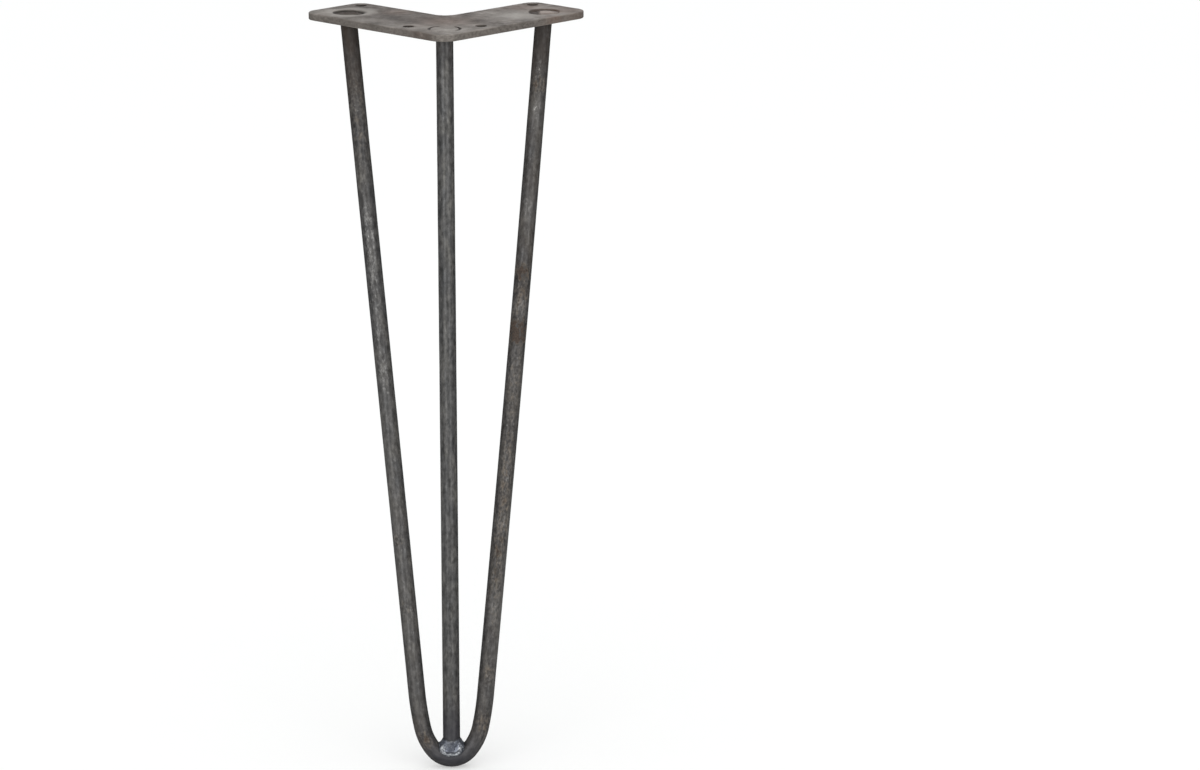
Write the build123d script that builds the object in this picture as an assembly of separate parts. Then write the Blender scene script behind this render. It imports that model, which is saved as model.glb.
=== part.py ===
from build123d import *
import os
from math import acos, atan2, cos, degrees, hypot, pi, radians, sin, sqrt, tan

# Welded hairpin table leg: a flat L-shaped top plate, one round bar bent into a hairpin and one
# straight centre bar, joined by a weld in the crotch of the bend and by plug welds in the plate.
# Millimetres and degrees. The origin is the middle of the plate's corner seat, on the face that
# meets the table. +Z is up, +Y runs from the plate's outer corner inwards, and X runs across.

# Leg
leg_height = 406.4
foot_reach = 40.0  # from the plate's sharp outer corner outwards to the middle of the foot
rod_diameter = 9.525

# Bend at the foot: a tight crown, an easier shoulder on each side and a long run-out
crown_radius = 12.8
crown_end_angle = 49.0  # from straight down to where the shoulder takes over
shoulder_radius = 29.7
shoulder_end_angle = 77.7
runout_radius = 164.0

# Top plate
arm_length = 115.0
arm_width = 45.5
plate_thickness = 4.0
outer_corner_radius = 10.0
inner_corner_radius = 8.0
tip_radius = 9.5  # arm end, at the outer edge
heel_radius = 7.5  # arm end, at the inner edge
edge_round = 0.5

# Seats where the bars stand in the plate
seat_edge_distance = 16.5  # from the outer edge
seat_end_distance = 20.7  # from the arm's end
seat_gap = 0.2  # least room between the leaning bar and the bore
seat_land = 1.5  # straight bore below the countersink
sink_rim = 3.2  # how far the countersink reaches beyond the bore
bar_end_depth = 2.0  # bar ends below the top face, under the plug welds

# Screw holes
screw_hole_diameter = 6.35
corner_screw_along = 36.7  # along the outer edge from the sharp corner
corner_screw_inset = 8.5  # from the outer edge
end_screw_from_end = 8.7
end_screw_from_inner_edge = 8.05

# Plug welds: how far each lies below the plate's top face
corner_weld_below = 0.15
corner_weld_bevel = 0.35
left_weld_below = 1.0
left_dish_depth = 0.5
right_weld_below = 1.1
right_lump_width = 8.5
right_lump_height = 0.95
right_lump_offset = 1.0

# Foot weld
saddle_depth = 1.2  # the centre bar's notched end straddles the crown by this much
foot_weld_proud = 1.5  # radius of the nugget beyond the bar's own
foot_weld_forward = 1.2  # middle of the weld in front of the hairpin's plane
foot_weld_spread = 2.9  # beyond the centre bar, into the two crotches
foot_weld_end_flat = 0.7  # radius left flat on the nugget's rounded ends
foot_weld_rise = 1.6  # middle of the weld above the inside of the crown

# Derived values
rod_radius = rod_diameter / 2
corner_to_seat = seat_edge_distance * sqrt(2)
mid_plate_z = -plate_thickness / 2
foot_axis_z = rod_radius - leg_height
foot_axis_y = -corner_to_seat - foot_reach


def on_arm(side, along, inset):
    """Plan point measured along an arm's outer edge and inwards from it; side is -1 left, 1 right."""
    return (side * (along - inset) / sqrt(2), (along + inset) / sqrt(2) - corner_to_seat)


seats = {
    "corner": (0, 0),
    "left": on_arm(-1, arm_length - seat_end_distance, seat_edge_distance),
    "right": on_arm(1, arm_length - seat_end_distance, seat_edge_distance),
}
seat_x, seat_y = seats["right"]

# Hairpin plane: through the middle of the foot and both arm seats
plane_run = hypot(seat_y - foot_axis_y, mid_plate_z - foot_axis_z)
plane_lean = atan2(seat_y - foot_axis_y, mid_plate_z - foot_axis_z)
hairpin_plane = Plane(
    origin=(0, foot_axis_y, foot_axis_z),
    x_dir=(1, 0, 0),
    z_dir=(0, -cos(plane_lean), sin(plane_lean)),
)

# Arc centres of the bend's right half, each on the line through the last centre and the joint
crown_centre = Vector(0, crown_radius)
crown_end = radians(crown_end_angle)
shoulder_end = radians(shoulder_end_angle)
shoulder_centre = crown_centre - (shoulder_radius - crown_radius) * Vector(sin(crown_end), -cos(crown_end))
runout_centre = shoulder_centre - (runout_radius - shoulder_radius) * Vector(sin(shoulder_end), -cos(shoulder_end))

# The straight bar leaves the run-out on the tangent that passes through the arm's seat
to_seat = Vector(seat_x, plane_run) - runout_centre
runout_end = pi - atan2(to_seat.X, to_seat.Y) - acos(runout_radius / to_seat.length)
bar_lean = pi / 2 - runout_end
bar_tilt = acos(cos(bar_lean) * cos(plane_lean))

bore_radius = rod_radius / cos(bar_tilt) + plate_thickness / 2 * tan(bar_tilt) + seat_gap
sink_radius = bore_radius + sink_rim


def bend_arc(centre, radius, start, end):
    """Arc of the hairpin's centre line between two angles measured from straight down."""
    return CenterArc(centre, radius, degrees(start) - 90, degrees(end - start))


def trimmed_under_weld(bar):
    """Bar cut level at the depth where its plug weld begins."""
    return split(bar, bisect_by=Plane.XY.offset(-bar_end_depth), keep=Keep.BOTTOM)


def make_hairpin_rod():
    """One bar: straight down from the left seat, round the foot and up to the right seat."""
    crown = bend_arc(crown_centre, crown_radius, 0, crown_end)
    shoulder = bend_arc(shoulder_centre, shoulder_radius, crown_end, shoulder_end)
    runout = bend_arc(runout_centre, runout_radius, shoulder_end, runout_end)
    past_plate = Vector(seat_x, plane_run) + plate_thickness * Vector(sin(bar_lean), cos(bar_lean))
    straight = Line(runout @ 1, past_plate)
    right_half = [crown, shoulder, runout, straight]
    left_half = [mirror(edge, about=Plane.YZ) for edge in right_half]
    path = hairpin_plane * Wire([edge.edge() for edge in left_half + right_half])
    section = Plane(origin=path @ 0, z_dir=path % 0) * Circle(rod_radius)
    return trimmed_under_weld(sweep(section, path=path))


def make_centre_rod(hairpin_rod):
    """Straight bar from the corner seat to the foot, its lower end notched over the crown."""
    foot = Vector(0, foot_axis_y, foot_axis_z)
    axis = (Vector(0, 0, mid_plate_z) - foot).normalized()
    bottom = foot + (rod_radius - saddle_depth) * axis
    length = (Vector(0, 0, 0) - bottom).length + plate_thickness
    bar = extrude(Plane(origin=bottom, x_dir=(1, 0, 0), z_dir=axis) * Circle(rod_radius), length)
    return trimmed_under_weld(bar) - hairpin_rod


def seat_space():
    """Countersunk bore that takes a bar's end and its plug weld, from the top face down."""
    top = (Align.CENTER, Align.CENTER, Align.MAX)
    bore = Cylinder(bore_radius, plate_thickness, align=top)
    return bore + Cone(bore_radius, sink_radius, plate_thickness - seat_land, align=top)


def make_top_plate():
    """L-shaped plate with softened edges, three bar seats and four screw holes."""
    corners = [
        (on_arm(1, 0, 0), outer_corner_radius),
        (on_arm(1, arm_length, 0), tip_radius),
        (on_arm(1, arm_length, arm_width), heel_radius),
        (on_arm(1, arm_width, arm_width), inner_corner_radius),
        (on_arm(-1, arm_length, arm_width), heel_radius),
        (on_arm(-1, arm_length, 0), tip_radius),
    ]
    outline = FilletPolyline(
        *[point for point, radius in corners],
        radius=[radius for point, radius in corners],
        close=True,
    )
    plate = extrude(make_face(outline), -plate_thickness)
    rims = plate.faces().sort_by(Axis.Z)[0].edges() + plate.faces().sort_by(Axis.Z)[-1].edges()
    plate = fillet(rims, edge_round)
    for seat in seats.values():
        plate -= Pos(*seat) * seat_space()
    for side in (-1, 1):
        corner_screw = on_arm(side, corner_screw_along, corner_screw_inset)
        end_screw = on_arm(side, arm_length - end_screw_from_end, arm_width - end_screw_from_inner_edge)
        for x, y in (corner_screw, end_screw):
            plate -= Pos(x, y, mid_plate_z) * Cylinder(screw_hole_diameter / 2, 2 * plate_thickness)
    return plate


def plug_weld(seat, below):
    """Weld metal that fills a seat up to a level below the plate's top face."""
    space = Pos(*seat) * seat_space()
    return split(space, bisect_by=Plane.XY.offset(-below), keep=Keep.BOTTOM)


def ball_for_cap(half_width, height):
    """Radius of the ball whose cap has this half width and height."""
    return (half_width**2 + height**2) / (2 * height)


def make_corner_plug_weld(centre_rod):
    """Ground almost flush; its bevelled rim leaves the seam that shows round it."""
    weld = plug_weld(seats["corner"], corner_weld_below)
    rim = weld.faces().sort_by(Axis.Z)[-1].edges()
    return chamfer(rim, corner_weld_bevel) - centre_rod


def make_left_plug_weld(hairpin_rod):
    """Left low in the seat, with a sunken, dished middle."""
    weld = plug_weld(seats["left"], left_weld_below)
    ball = ball_for_cap(bore_radius, left_dish_depth)
    dish = Pos(*seats["left"], ball - left_weld_below - left_dish_depth) * Sphere(ball)
    return weld - dish - hairpin_rod


def make_right_plug_weld(hairpin_rod):
    """Left low in the seat, with a low mound of weld metal standing in it."""
    weld = plug_weld(seats["right"], right_weld_below)
    ball = ball_for_cap(right_lump_width / 2, right_lump_height)
    x, y = seats["right"]
    lump = Pos(x + right_lump_offset, y, right_lump_height - right_weld_below - ball) * Sphere(ball)
    lump = split(lump, bisect_by=Plane.XY.offset(-right_weld_below))
    return weld + lump - hairpin_rod


def make_foot_weld(hairpin_rod, centre_rod):
    """Barrel-shaped nugget that wraps the centre bar's notched end and fills the bend's crotches."""
    half_depth = rod_radius + foot_weld_proud
    barrel = Rot(0, 90, 0) * Cylinder(half_depth, 2 * (rod_radius + foot_weld_spread))
    barrel = fillet(barrel.edges().filter_by(GeomType.CIRCLE), half_depth - foot_weld_end_flat)
    nugget = hairpin_plane * Pos(0, rod_radius + foot_weld_rise, foot_weld_forward) * barrel
    return nugget - hairpin_rod - centre_rod


hairpin_rod = make_hairpin_rod()
centre_rod = make_centre_rod(hairpin_rod)
nodes = {
    "top_plate": make_top_plate(),
    "hairpin_rod": hairpin_rod,
    "centre_rod": centre_rod,
    "foot_weld": make_foot_weld(hairpin_rod, centre_rod),
    "corner_plug_weld": make_corner_plug_weld(centre_rod),
    "left_plug_weld": make_left_plug_weld(hairpin_rod),
    "right_plug_weld": make_right_plug_weld(hairpin_rod),
}

os.makedirs("parts", exist_ok=True)
for name, solid in nodes.items():
    export_step(solid, f"parts/{name}.step")
    print(name, round(solid.volume, 2), "mm3")
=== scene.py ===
# %% [markdown]
# # A hairpin table leg in bare steel
# The real leg is three pieces of steel stock and four deposits of weld metal. An L-shaped plate is screwed
# under a table top. One round bar is bent into a hairpin, and a straight bar is welded into its crotch.
# The measured model already holds every size, so this lesson only gives the pieces their real skin.
# Each piece is a finer copy of its measured solid, with the marks that rolling, bending and welding left.

# %% Load the measured model
from math import acos, atan2, cos, degrees, hypot, pi, radians, sin, sqrt

import bmesh
import bpy
import numpy as np
from mathutils import Matrix, Vector, noise
from mathutils.bvhtree import BVHTree


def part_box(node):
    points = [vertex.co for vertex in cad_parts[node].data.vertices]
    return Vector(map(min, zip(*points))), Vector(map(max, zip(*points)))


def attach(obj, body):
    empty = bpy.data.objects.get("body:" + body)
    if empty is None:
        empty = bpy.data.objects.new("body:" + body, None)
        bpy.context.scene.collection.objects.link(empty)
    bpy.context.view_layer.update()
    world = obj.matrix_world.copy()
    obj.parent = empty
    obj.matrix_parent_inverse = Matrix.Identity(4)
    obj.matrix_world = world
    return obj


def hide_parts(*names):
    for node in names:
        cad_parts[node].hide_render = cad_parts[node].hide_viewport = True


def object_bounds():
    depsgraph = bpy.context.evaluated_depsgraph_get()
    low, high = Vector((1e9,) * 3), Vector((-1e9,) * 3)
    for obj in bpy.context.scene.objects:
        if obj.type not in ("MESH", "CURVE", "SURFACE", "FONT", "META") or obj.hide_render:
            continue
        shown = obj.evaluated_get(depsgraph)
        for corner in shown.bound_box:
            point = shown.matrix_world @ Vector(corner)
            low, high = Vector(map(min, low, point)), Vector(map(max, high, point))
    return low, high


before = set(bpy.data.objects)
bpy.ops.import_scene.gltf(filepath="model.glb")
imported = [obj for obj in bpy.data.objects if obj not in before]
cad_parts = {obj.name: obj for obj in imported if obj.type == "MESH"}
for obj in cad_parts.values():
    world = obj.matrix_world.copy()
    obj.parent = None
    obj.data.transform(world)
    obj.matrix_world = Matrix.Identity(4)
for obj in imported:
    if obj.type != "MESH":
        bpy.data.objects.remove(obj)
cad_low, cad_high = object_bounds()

mm = 0.001
print("measured box in mm:", [round(side / mm, 1) for side in cad_high - cad_low])

# %% [markdown]
# ## Camera
# A product picture like this one is taken from a couple of metres away with a long lens, so that the bars
# stay nearly parallel. The camera could be aimed at a target by eye. Here its place, pan, tilt and roll are
# set as numbers, because they were solved from edges of the leg that can be measured in the picture.

# %% Camera
picture_width = 1200
focal_length_in_pixels = 3685.2
camera_place = Vector((37.4, -1999.7, 346.4)) * mm
camera_pan = radians(1.36)
camera_tilt = radians(15.36)
camera_roll = radians(0.096)

camera_data = bpy.data.cameras.new("studio_camera")
camera_data.lens = focal_length_in_pixels / picture_width * camera_data.sensor_width
camera = bpy.data.objects.new("studio_camera", camera_data)
turn = Matrix.Rotation(-camera_pan, 4, "Z") @ Matrix.Rotation(pi / 2 - camera_tilt, 4, "X")
camera.matrix_world = Matrix.Translation(camera_place) @ turn @ Matrix.Rotation(-camera_roll, 4, "Z")
bpy.context.scene.collection.objects.link(camera)
bpy.context.scene.camera = camera
print("lens in mm:", round(camera_data.lens, 1))

# %% [markdown]
# ## Colours and nodes
# Colours are chosen as sRGB hex values, the way a paint program shows them, but a shader adds up
# light and needs linear values. One function does that change, by the sRGB standard's own curve. A second
# small function adds a shader node with its settings and its links, so that each material below reads as a
# list of its layers. A third ends a material and puts it on its pieces.

# %% Colours and nodes
def linear(hex_colour):
    """Linear RGBA of an sRGB hex colour such as #8a857d."""
    channels = [int(hex_colour[place:place + 2], 16) / 255 for place in (1, 3, 5)]
    return [c / 12.92 if c <= 0.04045 else ((c + 0.055) / 1.055) ** 2.4 for c in channels] + [1.0]


def add(material, kind, inputs=None, stops=None, **settings):
    """Adds a node: settings are its own options, inputs are values or the nodes that feed its sockets."""
    node = material.node_tree.nodes.new("ShaderNode" + kind)
    for name, value in settings.items():
        setattr(node, name, value)
    for name, value in (inputs or {}).items():
        if isinstance(name, int):
            socket = node.inputs[name]
        else:
            socket = next(s for s in node.inputs if s.name == name and s.enabled)
        if isinstance(value, bpy.types.Node):
            value = next(s for s in value.outputs if s.enabled)
        if isinstance(value, bpy.types.NodeSocket):
            material.node_tree.links.new(value, socket)
        else:
            socket.default_value = value
    for number, (position, colour) in enumerate(stops or []):
        if number >= len(node.color_ramp.elements):
            node.color_ramp.elements.new(position)
        node.color_ramp.elements[number].position = position
        node.color_ramp.elements[number].color = linear(colour)
    return node


def new_material(name):
    """An empty node material and nothing else."""
    material = bpy.data.materials.new(name)
    material.use_nodes = True
    material.node_tree.nodes.clear()
    return material


def dress(material, shader, *meshes):
    """Ends a material with its shader and puts it on the meshes."""
    add(material, "OutputMaterial", {"Surface": shader})
    for mesh in meshes:
        mesh.materials.append(material)
    print(material.name, "has", len(material.node_tree.nodes), "nodes")


print("half of white, #808080, in linear light:", round(linear("#808080")[0], 3))

# %% [markdown]
# ## White paper
# The leg stands on a wide sheet of white paper. A white background alone would leave it floating, with no
# shadow under its foot. Steel would mirror the sheet along its sides and melt into the ground, so the paper
# is kept out of reflections, as a photographer does with black card. A catalogue picture is plain sRGB, so
# the scene is shown that way too: white paper then needs only about ten times the light of the dark bars,
# and their edges stay crisp.

# %% White paper
bpy.context.scene.view_settings.view_transform = "Standard"

floor_z = cad_low.z
floor_half_width = 14.0
floor_corners = [
    (x * floor_half_width, y * floor_half_width, floor_z)
    for x, y in ((-1, -1), (1, -1), (1, 1), (-1, 1))
]
floor_mesh = bpy.data.meshes.new("paper_floor")
floor_mesh.from_pydata(floor_corners, [], [(0, 1, 2, 3)])
floor = bpy.data.objects.new("paper_floor", floor_mesh)
floor.visible_glossy = False
leg_pieces = bpy.data.collections.new("leg_pieces")
paper_only = bpy.data.collections.new("paper_only")
for group in (leg_pieces, paper_only):
    bpy.context.scene.collection.children.link(group)
paper_only.objects.link(floor)

# Uncoated paper scatters light evenly: the eye sees no highlight, only a shade that drifts over metres.
paper_drift_mm = 9333
paper = new_material("matt_white_paper")
paper_cloud = add(paper, "TexNoise", {"Scale": 2 * floor_half_width / (paper_drift_mm * mm), "Detail": 2.0})
paper_colour = add(paper, "ValToRGB", {"Fac": paper_cloud}, [(0.3, "#f6f6f5"), (0.7, "#fafaf9")])
dress(paper, add(paper, "BsdfPrincipled", {"Base Color": paper_colour, "Roughness": 0.9}), floor_mesh)
print("floor at", round(floor_z / mm, 1), "mm")

# %% [markdown]
# ## Room and soft boxes
# The room is bright and even, but most of it is kept out of reflections too. One large lamp would draw a
# single hard line on every bar, so two tall soft boxes stand in front, left and right of the camera, and
# draw two soft ones. A square box hangs above the plate, and a wide, weak one stands behind. They are masked
# so that they light only the leg. The paper has an even light of its own, which the leg doesn't block, so
# that only a faint contact shadow from the room is left under the foot.

# %% Room and soft boxes
room_light = 0.75
room_mirrored = 0.15
world = bpy.data.worlds.new("studio_room")
world.use_nodes = True
world.node_tree.nodes.clear()
mirrored = add(world, "LightPath").outputs["Is Glossy Ray"]
room_strength = add(world, "MapRange", {"Value": mirrored, "To Min": room_light, "To Max": room_mirrored})
room = add(world, "Background", {"Color": linear("#fbfcfd"), "Strength": room_strength})
add(world, "OutputWorld", {"Surface": room})
bpy.context.scene.world = world

# Name, bearing from the front and height in degrees, distance and size in metres, power in watts
leg_middle = (cad_low + cad_high) / 2
soft_boxes = (
    ("soft_box_left", -28, 15, 1.9, (0.40, 1.4), 18),
    ("soft_box_right", 30, 15, 1.9, (0.40, 1.4), 16),
    ("soft_box_above", 0, 80, 1.6, (1.2, 1.2), 7),
    ("soft_box_behind", 168, 28, 2.2, (1.2, 1.6), 5),
)
for name, azimuth, elevation, distance, size, power in soft_boxes:
    light_data = bpy.data.lights.new(name, "AREA")
    light_data.shape = "RECTANGLE"
    light_data.size = size[0]
    light_data.size_y = size[1]
    light_data.energy = power
    light = bpy.data.objects.new(name, light_data)
    reach = cos(radians(elevation))
    out = Vector((sin(radians(azimuth)) * reach, -cos(radians(azimuth)) * reach, sin(radians(elevation))))
    light.location = leg_middle + out * distance
    light.rotation_euler = (-out).to_track_quat("-Z", "Y").to_euler()
    light.light_linking.receiver_collection = leg_pieces
    bpy.context.scene.collection.objects.link(light)

paper_light_strength = 1.35
paper_light_softness = radians(30)
paper_light_tilt = (radians(16), radians(-12), 0)
paper_light_data = bpy.data.lights.new("paper_light", "SUN")
paper_light_data.energy = paper_light_strength
paper_light_data.angle = paper_light_softness
paper_light = bpy.data.objects.new("paper_light", paper_light_data)
paper_light.rotation_euler = paper_light_tilt
paper_light.light_linking.receiver_collection = paper_only
paper_light.light_linking.blocker_collection = paper_only
bpy.context.scene.collection.objects.link(paper_light)
print("lights:", [row[0] for row in soft_boxes] + [paper_light.name])

# %% [markdown]
# ## The bars' centre lines
# The hairpin is one bar bent cold: a tight crown, an easier shoulder on each side and a long run-out into
# the straight. A curve object with a bevel would do, but the skin needs to know how far along the bar and
# how far round it each point lies. So the centre line is worked out from its curvature: the bar's heading
# grows evenly along each bend, and adding up short steps in that heading gives the line.

# %% The plane of the bend
same_place = 0.001 * mm
bar_low, bar_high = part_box("centre_rod")
bar_radius = (bar_high.x - bar_low.x) / 2
hairpin_low, hairpin_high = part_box("hairpin_rod")
bar_top_z = hairpin_high.z
foot = Vector((0, hairpin_low.y + bar_radius, hairpin_low.z + bar_radius))
hairpin_points = np.array([point.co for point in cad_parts["hairpin_rod"].data.vertices])
at_top = hairpin_points[:, 2] > bar_top_z - same_place
right_end = hairpin_points[at_top & (hairpin_points[:, 0] > 0)]
seat = Vector((right_end.min(axis=0) + right_end.max(axis=0)) / 2)

plane_lean = atan2(seat.y - foot.y, seat.z - foot.z)
side_way = np.array([1.0, 0.0, 0.0])
up_way = np.array(Vector((0, sin(plane_lean), cos(plane_lean))))
front_way = np.array(Vector((0, -cos(plane_lean), sin(plane_lean))))
seat_height = hypot(seat.y - foot.y, seat.z - foot.z)
print("bar diameter:", round(2 * bar_radius / mm, 3), "mm, plane leans by", round(degrees(plane_lean), 2))

# %% The bent bar's centre line
crown_radius = 12.8 * mm
crown_end = radians(49.0)
shoulder_radius = 29.7 * mm
shoulder_end = radians(77.7)
runout_radius = 164.0 * mm
ring_step = 0.8 * mm

runout_centre = Vector((0, crown_radius))
for joint_angle, radius_step in (
    (crown_end, shoulder_radius - crown_radius),
    (shoulder_end, runout_radius - shoulder_radius),
):
    runout_centre = runout_centre - radius_step * Vector((sin(joint_angle), -cos(joint_angle)))
to_seat = Vector((seat.x, seat_height)) - runout_centre
runout_end = pi - atan2(to_seat.x, to_seat.y) - acos(runout_radius / to_seat.length)

bend_lengths = [
    crown_radius * crown_end,
    shoulder_radius * (shoulder_end - crown_end),
    runout_radius * (runout_end - shoulder_end),
    (to_seat.length**2 - runout_radius**2) ** 0.5,
]
half_length = sum(bend_lengths)
steps = round(half_length / ring_step)
along_half = np.linspace(0, half_length, steps + 1)
heading = np.interp(along_half, np.cumsum([0] + bend_lengths[:3]), [0, crown_end, shoulder_end, runout_end])
middle_heading = (heading[1:] + heading[:-1]) / 2
chord = half_length / steps
across_half = np.concatenate([[0], np.cumsum(np.cos(middle_heading) * chord)])
up_half = np.concatenate([[0], np.cumsum(np.sin(middle_heading) * chord)])
seat_miss = hypot(across_half[-1] - seat.x, up_half[-1] - seat_height)
print("half of the bent bar:", round(half_length / mm, 1), "mm, misses its seat by", round(seat_miss / mm, 3))

# %% [markdown]
# ## The bars' skin
# Each bar is a tube of rings along its centre line. Every point of the skin also stores where it would lie
# if the bar were straight: two numbers for its place in the round section and one for its distance along
# the bar, all in millimetres. A pattern placed in the room would run straight across the bend, but streaks
# and specks drawn with those numbers follow the bar round it. Hot-rolled bar is never a perfect cylinder, so
# a slow wander of a few hundredths of a millimetre is added, and the right-hand bar has a slight bow. The
# upper ends are cut level, where the plug welds begin.

# %% The bars' skin
points_round = 56
round_angles = np.linspace(0, 2 * pi, points_round, endpoint=False)
level_end_room = 2.4 * mm
level_tolerance = 0.01 * mm
bar_wander = 0.05 * mm
bar_wander_length_mm = 22.0


def link_piece(name, mesh, node):
    """Puts a finished mesh into the scene as the piece that stands for one measured node."""
    piece = bpy.data.objects.new(name, mesh)
    leg_pieces.objects.link(piece)
    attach(piece, "root")
    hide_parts(node)


def bar_mesh(name, line, tangent, front, inner, along, seed):
    """Tube of rings round a centre line; its bar_place attribute is the skin laid out straight, in mm."""
    ring_cos = np.cos(round_angles)[None, :, None]
    ring_sin = np.sin(round_angles)[None, :, None]
    place = np.zeros((len(line), points_round, 3))
    place[:, :, 0] = bar_radius / mm * ring_cos[:, :, 0]
    place[:, :, 1] = bar_radius / mm * ring_sin[:, :, 0]
    place[:, :, 2] = along[:, None] / mm
    shift = Vector((seed, 0, 0))
    wander = [noise.noise(Vector(p) / bar_wander_length_mm + shift) for p in place.reshape(-1, 3)]
    radius = bar_radius + bar_wander * np.array(wander).reshape(len(line), points_round, 1)
    rings = line[:, None, :] + radius * (ring_cos * front[:, None, :] + ring_sin * inner[:, None, :])
    for end in (0, len(line) - 1):
        if abs(line[end, 2] - bar_top_z) < level_tolerance:
            to_level = (bar_top_z - rings[end, :, 2]) / tangent[end, 2]
            rings[end] += to_level[:, None] * tangent[end]
    faces = []
    for ring in range(len(line) - 1):
        low = ring * points_round
        high = low + points_round
        for step in range(points_round):
            after = (step + 1) % points_round
            faces.append((low + step, low + after, high + after, high + step))
    faces.append(tuple(reversed(range(points_round))))
    faces.append(tuple(range((len(line) - 1) * points_round, len(line) * points_round)))
    mesh = bpy.data.meshes.new(name)
    mesh.from_pydata(rings.reshape(-1, 3).tolist(), [], faces)
    stored = mesh.attributes.new("bar_place", "FLOAT_VECTOR", "POINT")
    stored.data.foreach_set("vector", place.reshape(-1).astype(np.float32))
    work = bmesh.new()
    work.from_mesh(mesh)
    bmesh.ops.recalc_face_normals(work, faces=work.faces)
    work.to_mesh(mesh)
    volume = work.calc_volume()
    work.free()
    mesh.shade_smooth()
    print(name, len(mesh.polygons), "faces,", round(volume / mm**3), "mm3")
    return mesh


# %% The bent bar
right_bow = 0.7 * mm
keep = along_half < half_length - level_end_room
keep[-1] = True
across_kept = across_half[keep]
up_kept = up_half[keep]
heading_kept = heading[keep]
along_kept = along_half[keep]
straight_part = np.clip((along_kept - sum(bend_lengths[:3])) / bend_lengths[3], 0, 1)
bowed = across_kept + right_bow * np.sin(pi * straight_part)
across = np.concatenate([-across_kept[:0:-1], bowed])
up = np.concatenate([up_kept[:0:-1], up_kept])
turn_angle = np.concatenate([-heading_kept[:0:-1], heading_kept])
bent_along = np.concatenate([half_length - along_kept[:0:-1], half_length + along_kept])
bent_line = np.array(foot) + across[:, None] * side_way + up[:, None] * up_way
bent_tangent = np.cos(turn_angle)[:, None] * side_way + np.sin(turn_angle)[:, None] * up_way
bent_inner = -np.sin(turn_angle)[:, None] * side_way + np.cos(turn_angle)[:, None] * up_way
bent_front = np.repeat(front_way[None, :], len(bent_line), axis=0)
bent_mesh = bar_mesh("bent_bar", bent_line, bent_tangent, bent_front, bent_inner, bent_along, seed=3.0)
link_piece("bent_bar", bent_mesh, "hairpin_rod")

# %% The centre bar
saddle_depth = 1.2 * mm
centre_top = np.array((0, 0, bar_top_z))
centre_way = centre_top - np.array(foot)
centre_length = np.linalg.norm(centre_way)
centre_way /= centre_length
notch_room = bar_radius - saddle_depth
centre_steps = round((centre_length - notch_room) / ring_step)
even_steps = np.linspace(0, centre_length - notch_room, centre_steps + 1)
centre_along = np.append(even_steps[even_steps > level_end_room][::-1], 0)
centre_line = centre_top - centre_along[:, None] * centre_way
centre_tangent = np.repeat(centre_way[None, :], len(centre_line), axis=0)
centre_inner = np.repeat(-side_way[None, :], len(centre_line), axis=0)
centre_front = np.cross(centre_inner, centre_tangent)
centre_mesh = bar_mesh(
    "centre_bar", centre_line, centre_tangent, centre_front, centre_inner, centre_along, seed=11.0,
)
link_piece("centre_bar", centre_mesh, "centre_rod")

# %% [markdown]
# ## The plate and the welds
# These start as copies of the measured solids. Subdividing them would only give more long, thin faces, so a
# voxel remesh lays an even net of small faces over each copy. Each point is then put back on the measured
# surface, so the form stays true, and there are enough points to press marks into the skin.

# %% The plate and the welds
plate_face = 0.5 * mm
weld_face = 0.25 * mm


def fine_copy(name, node, face_size):
    """Mesh copy of a measured node with even faces of about face_size, lying on the node's own surface."""
    copy = bpy.data.objects.new(name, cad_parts[node].data.copy())
    bpy.context.scene.collection.objects.link(copy)
    work = bmesh.new()
    work.from_mesh(copy.data)
    bmesh.ops.remove_doubles(work, verts=work.verts, dist=same_place)
    surface = BVHTree.FromBMesh(work)
    work.to_mesh(copy.data)
    work.free()
    remesh = copy.modifiers.new("even_faces", "REMESH")
    remesh.mode = "VOXEL"
    remesh.voxel_size = face_size
    remesh.adaptivity = 0
    fine = bpy.data.meshes.new_from_object(copy.evaluated_get(bpy.context.evaluated_depsgraph_get()))
    fine.name = name
    bpy.data.objects.remove(copy)
    for point in fine.vertices:
        point.co = surface.find_nearest(point.co)[0]
    fine.shade_smooth()
    fine.materials.clear()
    print(name, len(fine.polygons), "faces")
    return fine


plate_mesh = fine_copy("corner_plate", "top_plate", plate_face)
link_piece("corner_plate", plate_mesh, "top_plate")
weld_names = {
    "foot_weld": ("foot_weld_nugget", "weld_metal"),
    "corner_plug_weld": ("corner_weld_ground_flush", "ground_weld"),
    "left_plug_weld": ("left_weld_dished", "weld_metal"),
    "right_plug_weld": ("right_weld_lump", "weld_metal"),
}
welds = {}
for node, (name, slot_name) in weld_names.items():
    welds[node] = fine_copy(name, node, weld_face)
    link_piece(name, welds[node], node)
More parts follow.
